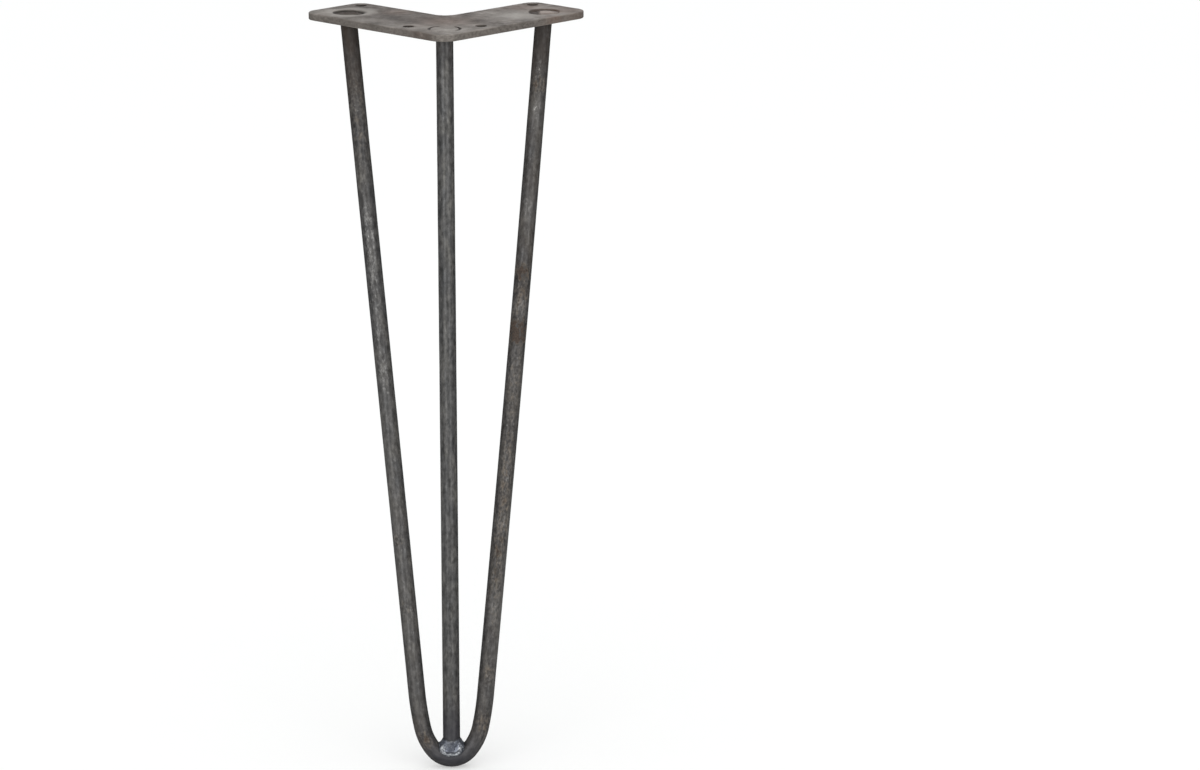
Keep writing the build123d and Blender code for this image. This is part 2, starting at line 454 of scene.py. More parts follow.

# %% [markdown]
# ## Where the bars have rusted, browned and flaked
# The bars have a history: damp left rust at a few places, the bending and welding heat browned the ends and
# blued the foot, handling knocked off flakes of scale, and some stretches stayed pale. Some pale dabs are
# painted light instead: on the left side of the left and centre bars and the right side of the right bar,
# where light falls from the side. A painter would dab these on with a soft brush. Here each dab is a row, so
# that one number moves or weakens it: which bar, how many millimetres below the plate, how far it spreads
# along the bar, which way it faces, how far it spreads round, and how strong it is. Angles are seen along the
# bar: 0 faces the front and 90 faces the inside of the hairpin.

# %% Where the bars have rusted, browned and flaked
foot_mm = half_length / mm
rust_dabs = [
    ("right", 280, 75, -5, 55, 0.5),
    ("right", 205, 30, 0, 60, 0.4),
    ("right", 160, 15, 0, 70, 0.5),
    ("left", 60, 40, 0, 90, 0.3),
    ("right", 40, 6, 0, 70, 0.6),
    ("right", 146, 5, 10, 55, 1.2),
    ("right", 179, 6, 5, 80, 2.4),
    ("right", 240, 5, -20, 50, 0.4),
    ("right", 302, 9, 0, 45, 0.6),
    ("right", 315, 9, 0, 40, 0.65),
    ("right", 371, 10, -10, 50, 0.45),
    ("right", 398, 9, -20, 70, 0.5),
    ("left", 296, 5, -20, 50, 0.5),
    ("left", 333, 6, -10, 60, 0.4),
    ("left", 408, 6, -10, 50, 0.6),
]
brown_dabs = [
    ("left", 14, 38, 0, 170, 1.0),
    ("left", 14, 85, 0, 400, 0.4),
    ("right", 14, 30, 0, 170, 0.85),
    ("right", 200, 400, 0, 400, 0.4),
    ("right", 158, 9, 0, 120, 0.7),
    ("right", 273, 10, 0, 100, 0.5),
    ("right", 349, 12, -10, 90, 0.5),
    ("right", 398, 16, 0, 120, 0.5),
    ("left", 404, 16, 0, 120, 0.5),
    ("centre", 4, 16, 0, 170, 0.6),
    ("centre", 390, 28, 0, 150, 0.7),
]
flake_dabs = [
    ("left", 260, 400, 0, 400, 0.35),
    ("right", 200, 400, 0, 400, 0.45),
    ("left", 40, 16, 5, 30, 0.9),
    ("left", 122, 18, -8, 40, 1.4),
    ("left", 150, 55, -12, 50, 1.0),
    ("left", 200, 12, -10, 45, 1.2),
    ("right", 34, 8, 5, 24, 1.7),
    ("right", 54, 7, -3, 30, 1.5),
    ("right", 80, 14, 0, 30, 0.9),
    ("right", 109, 8, 0, 35, 1.3),
    ("right", 124, 5, 0, 40, 0.9),
    ("right", 164, 5, 0, 60, 1.0),
    ("right", 200, 15, -10, 60, 0.7),
    ("right", 254, 10, -10, 60, 0.7),
    ("right", 287, 6, -20, 60, 0.8),
    ("right", 334, 9, -20, 60, 0.7),
    ("centre", 147, 6, 0, 50, 0.7),
    ("centre", 200, 5, 0, 50, 0.7),
    ("centre", 60, 40, 20, 60, 0.4),
]
# The three long pale dabs facing out to the sides are painted side light; the short ones are paler scale
pale_and_side_lit_dabs = [
    ("left", 290, 115, -75, 60, 0.2),
    ("centre", 280, 130, 80, 40, 0.6),
    ("right", 330, 70, -75, 40, 0.45),
    ("right", 54, 10, -5, 50, 0.2),
    ("right", 109, 9, -5, 50, 0.2),
    ("right", 164, 6, 0, 80, 0.3),
    ("right", 202, 17, -10, 70, 0.15),
    ("right", 254, 12, -10, 70, 0.12),
    ("right", 287, 7, -20, 70, 0.25),
    ("right", 334, 10, -20, 70, 0.2),
]
blue_dabs = [
    ("left", foot_mm, 16, 0, 120, 1.0),
    ("right", foot_mm, 16, 0, 120, 1.0),
    ("centre", 392, 16, 0, 400, 1.0),
]
print("dabs of rust, brown, flakes, pale, blue:", [len(rows) for rows in (
    rust_dabs, brown_dabs, flake_dabs, pale_and_side_lit_dabs, blue_dabs,
)])

# %% Paint the dabs on the bars
def store_marks(mesh, name, *marks):
    """Stores up to four marks, each with a strength for every point, as the channels of a colour."""
    colours = np.zeros((len(mesh.vertices), 4), np.float32)
    colours[:, 3] = 1
    for channel, mark in enumerate(marks):
        colours[:, channel] = mark
    mesh.attributes.new(name, "FLOAT_COLOR", "POINT").data.foreach_set("color", colours.reshape(-1))
    print(mesh.name, name, "mean strengths:", colours[:, :len(marks)].mean(axis=0).round(3))


def dabbed(place, dabs, bar_starts):
    """Strength of a list of dabs at each point of a bar's skin laid out straight, in mm."""
    total = np.zeros(len(place))
    angle = np.degrees(np.arctan2(place[:, 1], place[:, 0]))
    for bar, below, spread, facing, spread_round, strength in dabs:
        if bar in bar_starts:
            start, way = bar_starts[bar]
            away = ((place[:, 2] - start) * way - below) / spread
            turned = ((angle - facing + 180) % 360 - 180) / spread_round
            total = np.maximum(total, strength * np.exp(-(away**2) - turned**2))
    return total


def paint_bar(mesh, bar_starts):
    """Stores rust, brown, flake and blue dabs in bar_marks, and the pale ones, partly painted side light, in
    an attribute of their own.
    """
    place = np.zeros(len(mesh.vertices) * 3, np.float32)
    mesh.attributes["bar_place"].data.foreach_get("vector", place)
    place = place.reshape(-1, 3)
    four_lists = (rust_dabs, brown_dabs, flake_dabs, blue_dabs)
    store_marks(mesh, "bar_marks", *[dabbed(place, dabs, bar_starts) for dabs in four_lists])
    pale = dabbed(place, pale_and_side_lit_dabs, bar_starts).astype(np.float32)
    mesh.attributes.new("bar_pale_and_side_light", "FLOAT", "POINT").data.foreach_set("value", pale)


paint_bar(bent_mesh, {"left": (0, 1), "right": (2 * foot_mm, -1)})
paint_bar(centre_mesh, {"centre": (0, 1)})

# %% [markdown]
# ## Mill scale
# Hot-rolled bar cools under a thin hard skin of iron oxide, called mill scale: blue-black to grey, with a
# satin shine, drawn out in streaks along the bar by the rolls. Where it has been knocked, small flakes are
# gone and paler steel shows. Heat turns it brown, and at the weld blue. One image of a rusty bar could be
# wrapped round it, but it would repeat and stretch. The material builds the skin up in the order in which
# it came about instead: oxide, streaks, pale stretches, flakes, browning, bluing. The pale stretches on the
# bars' outer sides are painted side light.

# %% Patterns on the bars
mill_scale = new_material("hot_rolled_bar_under_mill_scale")
bar_place = add(mill_scale, "Attribute", attribute_name="bar_place").outputs["Vector"]
stored_marks = add(mill_scale, "Attribute", attribute_name="bar_marks")
rust_mark, brown_mark, flake_mark = add(mill_scale, "SeparateColor", {
    "Color": stored_marks.outputs["Color"],
}).outputs
blue_mark = stored_marks.outputs["Alpha"]
pale_and_side_light_mark = add(mill_scale, "Attribute", attribute_name="bar_pale_and_side_light").outputs["Fac"]

# Size across and along the bar in mm, detail and roughness. The real grain of the oxide is a few hundredths
# of a millimetre; it is drawn at 0.6 mm and more, as fine as the picture can show.
bar_patterns = {
    "cloud": (5.0, 16.0, 4.0, 0.6),
    "streak": (1.1, 9.0, 3.0, 0.5),
    "speck": (2.0, 3.2, 3.0, 0.5),
    "grain": (0.6, 0.9, 2.0, 0.5),
    "fleck": (1.3, 2.4, 5.0, 0.65),
    "blotch": (2.0, 3.2, 4.0, 0.6),
    "pits": (1.1, 1.7, 2.0, 0.5),
}
noises = []
for across_mm, along_mm, detail, roughness in bar_patterns.values():
    shrink = (1 / across_mm, 1 / across_mm, 1 / along_mm)
    noises.append(add(mill_scale, "TexNoise", {
        "Vector": add(mill_scale, "VectorMath", {0: bar_place, 1: shrink}, operation="MULTIPLY"),
        "Scale": 1.0,
        "Detail": detail,
        "Roughness": roughness,
    }))
cloud, streak, speck, grain, fleck, blotch, pits = noises
print("bar patterns, mm across and along:", {name: row[:2] for name, row in bar_patterns.items()})

# %% Oxide, flakes and heat colours
oxide = add(mill_scale, "ValToRGB", {"Fac": cloud}, [(0.3, "#505152"), (0.5, "#626160"), (0.72, "#76746f")])
scale_colour = oxide
for pattern, darkest, strength in (
    (streak, "#8a8a8a", 0.6),
    (speck, "#868686", 0.85),
    (grain, "#a8a8a8", 0.4),
):
    tone = add(mill_scale, "ValToRGB", {"Fac": pattern}, [(0.3, darkest), (0.7, "#ffffff")])
    scale_colour = add(mill_scale, "Mix", {
        "Factor": strength, "A": scale_colour, "B": tone,
    }, data_type="RGBA", blend_type="MULTIPLY")

flake_edge = 0.24
blue_depth = 0.75
# The pale layer is paler scale and, on the bars' outer sides, painted light from the side
pale_and_side_light_in_clouds = add(mill_scale, "Math", {0: pale_and_side_light_mark, 1: cloud}, operation="MULTIPLY")
pale_and_side_light_part = add(mill_scale, "MapRange", {"Value": pale_and_side_light_in_clouds, "From Min": 0.0, "From Max": 0.6})
flake_level = add(mill_scale, "MapRange", {"Value": flake_mark, "To Min": 0.66, "To Max": 0.47})
flake_top = add(mill_scale, "Math", {0: flake_level, 1: flake_edge}, operation="ADD")
flake = add(mill_scale, "MapRange", {"Value": fleck, "From Min": flake_level, "From Max": flake_top})
brown_lit = add(mill_scale, "Math", {0: brown_mark, 1: cloud}, operation="MULTIPLY")
brown_part = add(mill_scale, "MapRange", {"Value": brown_lit, "From Min": 0.0, "From Max": 0.7})
blue_part = add(mill_scale, "Math", {0: blue_mark, 1: blue_depth}, operation="MULTIPLY")
for part, colour in (
    (pale_and_side_light_part, "#8a8986"),
    (flake, "#868583"),
    (brown_part, "#352b24"),
    (blue_part, "#303036"),
):
    scale_colour = add(mill_scale, "Mix", {
        "Factor": part, "A": scale_colour, "B": linear(colour),
    }, data_type="RGBA")
print("scale without rust:", len(mill_scale.node_tree.nodes), "nodes")

# %% [markdown]
# ## Rust, pits, bright flecks and painted glints
# Damp gets in where the scale has gone. Rust starts as a thin brown film in blotches and thickens to a dark,
# even crust. Where it is thin, it has eaten fine pits, so the bar looks speckled there. Last come bright
# specks in the flaked places, on top of everything else: partly steel that handling has rubbed bare, partly
# painted glints of light. Rust could be one brown colour, but the thin film, the crust and the pits are
# what tell it from paint.

# %% Rust, pits, bright flecks and painted glints
dry_limit = 0.22
rust_cover = 0.9
painted_glint_edge = 0.12
damp = add(mill_scale, "MapRange", {"Value": blotch, "From Min": 0.36, "From Max": 0.66})
rust_wet = add(mill_scale, "Math", {0: rust_mark, 1: damp, 2: -dry_limit}, operation="MULTIPLY_ADD")
rust = add(mill_scale, "MapRange", {"Value": rust_wet, "From Min": -0.08, "From Max": 0.3})
crust_stops = [(0.3, "#271f18"), (0.5, "#352a22"), (0.75, "#44372d")]
thick_rust = add(mill_scale, "ValToRGB", {"Fac": grain}, crust_stops)
thin_rust = add(mill_scale, "ValToRGB", {"Fac": speck}, [(0.34, "#352c24"), (0.66, "#6e6352")])
rust_tone = add(mill_scale, "Mix", {"Factor": rust, "A": thin_rust, "B": thick_rust}, data_type="RGBA")
rust_part = add(mill_scale, "Math", {0: rust, 1: rust_cover}, operation="MULTIPLY")
rusted = add(mill_scale, "Mix", {"Factor": rust_part, "A": scale_colour, "B": rust_tone}, data_type="RGBA")

pit_away = add(mill_scale, "MapRange", {
    "Value": pits, "From Min": 0.36, "From Max": 0.64, "To Min": -1.0, "To Max": 1.0,
})
pit_stops = [(0.0, "#000000"), (0.45, "#b8b8b8"), (0.8, "#4a4a4a")]
pit_depth = add(mill_scale, "ValToRGB", {"Fac": rust_mark}, pit_stops)
pit_light = add(mill_scale, "Math", {0: pit_away, 1: pit_depth, 2: 1.0}, operation="MULTIPLY_ADD")
speckled = add(mill_scale, "VectorMath", {0: rusted, "Scale": pit_light}, operation="SCALE")

# Painted highlight: bright specks put into the colour where flakes are, as glints as well as bare steel
painted_glint_level = add(mill_scale, "MapRange", {
    "Value": flake_mark, "From Min": 0.4, "From Max": 1.6, "To Min": 0.8, "To Max": 0.56,
})
painted_glint_top = add(mill_scale, "Math", {0: painted_glint_level, 1: painted_glint_edge}, operation="ADD")
painted_glint = add(mill_scale, "MapRange", {"Value": fleck, "From Min": painted_glint_level, "From Max": painted_glint_top})
worn_with_painted_glints = add(mill_scale, "Mix", {"Factor": painted_glint, "A": speckled, "B": linear("#b9b7b2")}, data_type="RGBA")
print("scale with rust:", len(mill_scale.node_tree.nodes), "nodes")

# %% Shine and relief of the bars
# Tight scale gives the eye a satin shine that breaks up in clouds; brown and rust are dull, and only bare
# flakes shine like metal.
shine = add(mill_scale, "MapRange", {
    "Value": cloud, "From Min": 0.3, "From Max": 0.7, "To Min": 0.38, "To Max": 0.52,
})
brown_dullness = 0.75
rust_dullness = 0.85
flake_step = -0.6
speck_height = 1.5
dulled = add(mill_scale, "Mix", {"Factor": brown_part, "A": shine, "B": brown_dullness}, data_type="FLOAT")
bar_dullness = add(mill_scale, "Mix", {"Factor": rust, "A": dulled, "B": rust_dullness}, data_type="FLOAT")
bare = add(mill_scale, "MapRange", {"Value": flake, "To Min": 0.3, "To Max": 0.7})
bar_metallic = add(mill_scale, "Mix", {"Factor": rust, "A": bare, "B": 0.0}, data_type="FLOAT")
flaked_relief = add(mill_scale, "Math", {0: flake, 1: flake_step, 2: grain}, operation="MULTIPLY_ADD")
relief = add(mill_scale, "Math", {0: speck, 1: speck_height, 2: flaked_relief}, operation="MULTIPLY_ADD")
bar_bump = add(mill_scale, "Bump", {"Height": relief, "Strength": 0.35, "Distance": 0.05 * mm})
bar_shader = add(mill_scale, "BsdfPrincipled", {
    "Base Color": worn_with_painted_glints,
    "Metallic": bar_metallic,
    "Roughness": bar_dullness,
    "Specular IOR Level": 0.4,
    "Normal": bar_bump,
})
dress(mill_scale, bar_shader, bent_mesh, centre_mesh)

# %% [markdown]
# ## Marks on the plate
# The plate was sheared from hot-rolled sheet, and the seats were dressed with a grinder, so the skin round
# them is brighter. Round the left seat it stands a little proud, with a scoop at its right side. At the
# right seat the front of the rim has sunk into a shallow funnel, and the back of it is burnt. The seam round
# the corner weld stayed open in two arcs, welding heat stained the underside, and the edge beside the corner
# has a nick. Texture alone would look flat from the side, so where these are changes of shape, the points
# of the fine mesh are moved. The same places are stored as marks, to give them their own colour. The walls
# of the seats, the screw holes and the open seam, the scoop and the tips of the arms are darkened in the
# marks as painted shade.

# %% Places on the plate
seat_inset_mm = 16.5
seat_corner_mm = seat_inset_mm * sqrt(2)
seat_mm = np.array(seat)[:2] / mm


def on_arm(side, along_edge, inset):
    """Plan point in mm, measured along an arm's outer edge from the sharp corner and inwards from it."""
    return np.array((side * (along_edge - inset), along_edge + inset)) / sqrt(2) - (0, seat_corner_mm)


def smooth(values, low, high):
    """0 below low, 1 above high, and an even S-curve between."""
    part = np.clip((values - low) / (high - low), 0, 1)
    return part * part * (3 - 2 * part)


def within(values, low, high):
    """1 below low, 0 above high, and an even S-curve between."""
    return 1 - smooth(values, low, high)


def open_seam(plan):
    """1 where the seam round the corner weld stayed open, in plan: at the back left and at the right."""
    bearing = np.degrees(np.arctan2(plan[:, 1], plan[:, 0])) % 360
    from_left_side = (bearing + 180) % 360
    back_left = smooth(bearing, 104, 116) * within(bearing, 190, 202)
    right = smooth(from_left_side, 130, 142) * within(from_left_side, 226, 238)
    return back_left + right


def read_points(mesh):
    """Places of a mesh's points in mm, one row each."""
    return np.array([point.co for point in mesh.vertices]) / mm


def write_points(mesh, points_mm):
    """Moves a mesh's points to these places, given in mm."""
    mesh.vertices.foreach_set("co", (points_mm * mm).reshape(-1).astype(np.float32))
    mesh.update()


top_skin_mm = (-1.0, -0.2)
bottom_skin_mm = (-3.8, -3.4)
plate_points = read_points(plate_mesh)
plan = plate_points[:, :2]
depth = plate_points[:, 2]
from_left = np.linalg.norm(plan - seat_mm * (-1, 1), axis=1)
from_right = np.linalg.norm(plan - seat_mm, axis=1)
from_corner = np.linalg.norm(plan, axis=1)
from_arm_seats = np.minimum(from_left, from_right)
from_seats = np.minimum(from_arm_seats, from_corner)
left_side = from_left < from_right
right_side = from_right < from_left
upper = smooth(depth, *top_skin_mm)
underside = within(depth, *bottom_skin_mm)
print("plate points:", len(plan), "of which on the underside:", int(underside.sum()))

# %% Press the marks into the plate
seat_rim_mm = 9.0
halo_full_mm = seat_rim_mm + 2.0
halo_reach_mm = 19.0
halo_height_mm = 0.22
wobble_mm = 3.0
wobble_size_mm = 9.0
scoop_reach_mm = 11.8
scoop_side_mm = (2.5, 6.5)
scoop_depth_mm = 0.5
funnel_reach_mm = 12.5
funnel_back_mm = (-5.0, 3.0)
funnel_depth_mm = 0.45
nick_place = on_arm(-1, 17.5, 0)
nick_width_mm = 1.5
nick_depth_mm = 0.6
nick_skin_mm = (-3.0, -0.8)
ripple_size_mm = 18.0
ripple_height_mm = 0.05
beside_lump_mm = (-4.0, -0.5)
filled_back_mm = (2.0, 5.0)
filled_share = 0.75
burnt_back_mm = (2.0, 6.0)

behind_seat = plan[:, 1] - seat_mm[1]
right_of_right_seat = plan[:, 0] - seat_mm[0]
right_of_left_seat = plan[:, 0] + seat_mm[0]
wobble = np.array([noise.noise(Vector((x, y, 0)) / wobble_size_mm) for x, y in plan]) * wobble_mm
halo = within(from_arm_seats + wobble, halo_full_mm, halo_reach_mm)
halo *= smooth(from_arm_seats, seat_rim_mm - 0.3, seat_rim_mm + 0.6)
funnel = within(from_right, seat_rim_mm - 0.5, funnel_reach_mm) * upper
funnel *= within(behind_seat, *funnel_back_mm)
scoop = within(from_left, seat_rim_mm - 0.5, scoop_reach_mm) * upper
scoop *= smooth(right_of_left_seat, *scoop_side_mm)
nick_away = np.linalg.norm(plan - nick_place, axis=1) / nick_width_mm
nick = np.exp(-(nick_away**2)) * smooth(depth, *nick_skin_mm)
ripple = np.array([noise.fractal(Vector(p) / ripple_size_mm, 0.6, 2.0, 3) for p in plate_points])

# These marks are worked out before the points move
# Painted shade: the walls of the arm seats are darkened in the marks
seat_wall_shade = within(from_arm_seats, seat_rim_mm - 0.5, seat_rim_mm + 0.3) * smooth(-depth, 0.05, 0.4)
filled = smooth(right_of_right_seat, *beside_lump_mm) * within(behind_seat, *filled_back_mm)
seat_wall_shade *= (1 - underside) * (1 - filled_share * filled * right_side)
burnt_rim = within(from_right, seat_rim_mm + 0.2, seat_rim_mm + 1.6) * smooth(behind_seat, *burnt_back_mm)
# Painted shade: the walls of the open seam round the corner weld are darkened too
seam_wall_shade = within(from_corner, seat_rim_mm + 0.1, seat_rim_mm + 0.6) * open_seam(plan) * (1 - underside)

depth += halo * left_side * upper * halo_height_mm + ripple * upper * ripple_height_mm
depth -= funnel * funnel_depth_mm + scoop * scoop_depth_mm
plan += (nick * nick_depth_mm / sqrt(2))[:, None]
write_points(plate_mesh, plate_points)
print("plate rises to", round(float(depth.max()), 2), "mm above the table face")

# %% Paint the marks on the plate
# Middle, reach in mm and strength of each dab
bright_dabs = [
    ((0, -2), 22, 0.75),
    (on_arm(-1, 108, 8), 12, 0.6),
    (on_arm(1, 74, 18), 14, 1.4),
    (on_arm(1, 84, 26), 9, 0.9),
    (on_arm(1, 92, 5), 9, 1.0),
    (on_arm(-1, 45, 3), 12, 0.6),
    (on_arm(-1, 70, 3), 12, 0.5),
]
dark_and_shade_dabs = [
    (on_arm(-1, 60, 26), 22, 0.75),
    (on_arm(1, 52, 24), 15, 0.3),
    (on_arm(-1, 88, 36), 12, 0.35),
    (on_arm(-1, 14, 1), 4, 0.8),
    (on_arm(-1, 21, 1), 4, 0.9),
    # These two darken the tips of the arms: painted shade on the end faces turned away from the light
    (on_arm(-1, 116, 6), 3, 0.9),
    (on_arm(1, 116, 6), 3, 0.9),
    (on_arm(1, 50, 38), 14, 0.2),
]
tint_dabs = [
    ((0, 24), 16, 0.7),
    (on_arm(-1, 18, 2), 8, 0.3),
    (on_arm(-1, 75, 36), 9, 0.6),
    (on_arm(1, 86, 0), 7, 0.6),
    (on_arm(1, 104, 12), 14, 0.7),
    (on_arm(1, 96, 34), 12, 0.7),
]
# Each arm has two screw holes: how far along its edge they lie and how far in from it, in mm
hole_places_mm = ((36.7, 8.5), (106.3, 37.45))
screw_holes = [on_arm(side, *place) for side in (-1, 1) for place in hole_places_mm]
hole_reach_mm = 3.5
hole_wall_mm = (0.05, 0.3)
heat_reach_mm = 13.0
soot_and_shade_depth = 1.9
scoop_shade = 0.6
heat_soot = 0.6
burnt_soot = 0.5
left_rim_gain = 1.3
right_rim_gain = 0.5


def dabs_at(plan, dabs):
    """Strength of soft round dabs at points of the plan, in mm."""
    total = np.zeros(len(plan))
    for middle, reach, strength in dabs:
        away = np.linalg.norm(plan - middle, axis=1) / reach
        total = np.maximum(total, strength * np.exp(-(away**2)))
    return total


# Painted shade: the walls of the screw holes are darkened
hole_wall_shade = np.zeros(len(plan))
for middle in screw_holes:
    hole_wall_shade += (np.linalg.norm(plan - middle, axis=1) < hole_reach_mm) * smooth(-depth, *hole_wall_mm)
heat_stain = within(from_seats + wobble, seat_rim_mm - 2.0, heat_reach_mm) * underside
# The dark marks hold real heat stain and burn, and painted shade in the seats, holes, seam and scoop
soot_and_painted_shade = np.maximum.reduce([
    seat_wall_shade, hole_wall_shade, seam_wall_shade, scoop_shade * scoop, heat_soot * heat_stain, burnt_soot * burnt_rim,
])
dressed_rim = np.where(left_side, left_rim_gain, right_rim_gain) * halo * (1 - underside)
store_marks(
    plate_mesh,
    "plate_marks",
    np.maximum(dabs_at(plan, bright_dabs), dressed_rim),
    np.maximum(dabs_at(plan, dark_and_shade_dabs), soot_and_shade_depth * soot_and_painted_shade),
    dabs_at(plan, tint_dabs),
)

# %% [markdown]
# ## Worn hot-rolled plate
# Hot-rolled sheet that has lost most of its scale is a warm, cloudy grey with a dull shine. Stacking and
# handling leave fine scratches that cross each other, and small dark pits remain where scale was pressed in.
# The sheared edges are darker. The clouds could be painted by hand, but noise of two sizes does it, and the
# stored marks put the ground, sooty and brown places where they belong, and the painted shade in the seats,
# holes, open seam, scoop and arm tips. The corner weld was ground flush with the plate and is finished with
# it, so it takes the same material.

# %% Clouds and scratches on the plate
def object_in_mm(material):
    """The places of an object's surface, in mm, for the patterns of a material."""
    place = add(material, "TexCoord").outputs["Object"]
    return add(material, "VectorMath", {0: place, "Scale": 1 / mm}, operation="SCALE")


def read_marks(material, name):
    """The three marks that store_marks put into an attribute, for use in a material."""
    stored = add(material, "Attribute", attribute_name=name).outputs["Color"]
    return add(material, "SeparateColor", {"Color": stored}).outputs


plate_steel = new_material("worn_hot_rolled_plate")
plate_mm = object_in_mm(plate_steel)
ground_mark, dark_and_shade_mark, brown_spot = read_marks(plate_steel, "plate_marks")
wide_cloud_mm = 16
small_cloud_mm = 7
wide_cloud = add(plate_steel, "TexNoise", {
    "Vector": plate_mm, "Scale": 1 / wide_cloud_mm, "Detail": 5.0, "Roughness": 0.6,
})
small_cloud = add(plate_steel, "TexNoise", {
    "Vector": plate_mm, "Scale": 1 / small_cloud_mm, "Detail": 6.0, "Roughness": 0.7,
})
grey_stops = [(0.3, "#5e5852"), (0.5, "#837b75"), (0.7, "#aaa29b")]
grey = add(plate_steel, "ValToRGB", {"Fac": wide_cloud}, grey_stops)
mottle = add(plate_steel, "ValToRGB", {"Fac": small_cloud}, [(0.3, "#85817d"), (0.7, "#ffffff")])
plate_colour = add(plate_steel, "Mix", {
    "Factor": 0.8, "A": grey, "B": mottle,
}, data_type="RGBA", blend_type="MULTIPLY")

# A real scratch is a hairline that wouldn't show, so it is drawn 0.45 mm wide and 14 mm long
scratch_size_mm = (14, 0.45, 4)
scratch_cover = 0.22
scratch_step = -0.5
plate_height = small_cloud
for turn_degrees, shift_mm in ((24, 0), (-52, 40), (81, 90)):
    turned = add(plate_steel, "Mapping", {
        "Vector": plate_mm,
        "Location": (shift_mm, 0, 0),
        "Rotation": (0, 0, radians(turn_degrees)),
        "Scale": scratch_size_mm,
    }, vector_type="TEXTURE")
    line_noise = add(plate_steel, "TexNoise", {"Vector": turned, "Scale": 1.0, "Detail": 1.0})
    scratch = add(plate_steel, "MapRange", {"Value": line_noise, "From Min": 0.66, "From Max": 0.72})
    scratch_part = add(plate_steel, "Math", {0: scratch, 1: scratch_cover}, operation="MULTIPLY")
    plate_colour = add(plate_steel, "Mix", {
        "Factor": scratch_part, "A": plate_colour, "B": linear("#aaa69f"),
    }, data_type="RGBA")
    plate_height = add(plate_steel, "Math", {
        0: scratch, 1: scratch_step, 2: plate_height,
    }, operation="MULTIPLY_ADD")
print("clouds and scratches:", len(plate_steel.node_tree.nodes), "nodes")

# %% Edges, stains and pits of the plate
# Bare, handled steel gives the eye a dull metallic grey: brighter where it was ground, sooty by the welds,
# and darker in its seats, holes and seam as painted shade.
ground_cover = 0.6
edge_cover = 0.85
pit_cover = 0.5
pit_step = -0.8
pit_size_mm = 0.9
shear_size_mm = (1.7, 1.7, 1.2)
normal = add(plate_steel, "NewGeometry").outputs["Normal"]
facing_up = add(plate_steel, "SeparateXYZ", {"Vector": normal}).outputs["Z"]
flatness = add(plate_steel, "Math", {0: facing_up}, operation="ABSOLUTE")
edge = add(plate_steel, "MapRange", {"Value": flatness, "From Min": 0.75, "From Max": 0.2})
shear_shrink = [1 / size for size in shear_size_mm]
shear_place = add(plate_steel, "VectorMath", {0: plate_mm, 1: shear_shrink}, operation="MULTIPLY")
shear = add(plate_steel, "TexNoise", {"Vector": shear_place, "Scale": 1.0, "Detail": 4.0})
shear_tone = add(plate_steel, "ValToRGB", {"Fac": shear}, [(0.3, "#4d4843"), (0.7, "#726c66")])
pit_noise = add(plate_steel, "TexNoise", {"Vector": plate_mm, "Scale": 1 / pit_size_mm, "Detail": 3.0})
pit = add(plate_steel, "MapRange", {"Value": pit_noise, "From Min": 0.68, "From Max": 0.74})
# The dark marks are partly soot and stains, partly painted shade
for mark, cover, colour in (
    (ground_mark, ground_cover, linear("#a8a39d")),
    (edge, edge_cover, shear_tone),
    (dark_and_shade_mark, small_cloud, linear("#2e2925")),
    (brown_spot, small_cloud, linear("#75594a")),
    (pit, pit_cover, linear("#3a3632")),
):
    part = add(plate_steel, "Math", {0: mark, 1: cover}, operation="MULTIPLY", use_clamp=True)
    plate_colour = add(plate_steel, "Mix", {"Factor": part, "A": plate_colour, "B": colour}, data_type="RGBA")

dullness = add(plate_steel, "MapRange", {
    "Value": small_cloud, "From Min": 0.3, "From Max": 0.7, "To Min": 0.72, "To Max": 0.45,
})
plate_relief = add(plate_steel, "Math", {0: pit, 1: pit_step, 2: plate_height}, operation="MULTIPLY_ADD")
plate_bump = add(plate_steel, "Bump", {"Height": plate_relief, "Strength": 0.5, "Distance": 0.08 * mm})
plate_shader = add(plate_steel, "BsdfPrincipled", {
    "Base Color": plate_colour,
    "Metallic": 0.35,
    "Roughness": dullness,
    "Normal": plate_bump,
})
dress(plate_steel, plate_shader, plate_mesh, welds["corner_plug_weld"])

# %% [markdown]
# ## The nugget at the foot
# The nugget froze from a puddle, so it is rounded, wrinkled at its rim and brighter than the bars. Its face
# is flattened, with a raised lip round the lower rim, and its shoulders are trimmed where they leave the
# centre bar. Wrinkles are moved points, not just shading, because the nugget is seen against the white
# ground from the side. Points that touch a bar stay where they are, so that no gap opens.

# %% The nugget at the foot
fine_ripple_mm = 1.1
bar_lines_mm = np.concatenate([bent_line, centre_line]) / mm


def bar_clearance(points_mm):
    """Distance in mm from each point to the skin of the nearest bar."""
    from_axis = np.array([np.linalg.norm(bar_lines_mm - point, axis=1).min() for point in points_mm])
    return from_axis - bar_radius / mm


def wrinkle(mesh, facet_height_mm, facet_size_mm, ripple_mm, free):
    """Moves a weld's skin along its normals, as far as it is free: broad facets and fine ripples."""
    points = read_points(mesh)
    normals = np.array([point.normal for point in mesh.vertices])
    facets = np.array([noise.voronoi(Vector(p) / facet_size_mm)[0][0] for p in points])
    ripples = np.array([noise.fractal(Vector(p) / fine_ripple_mm, 0.7, 2.0, 3) for p in points])
    move = (facet_height_mm * (0.5 - facets) + ripple_mm * ripples) * free
    write_points(mesh, points + move[:, None] * normals)
    print(mesh.name, "moved by up to", round(float(np.abs(move).max()), 2), "mm")


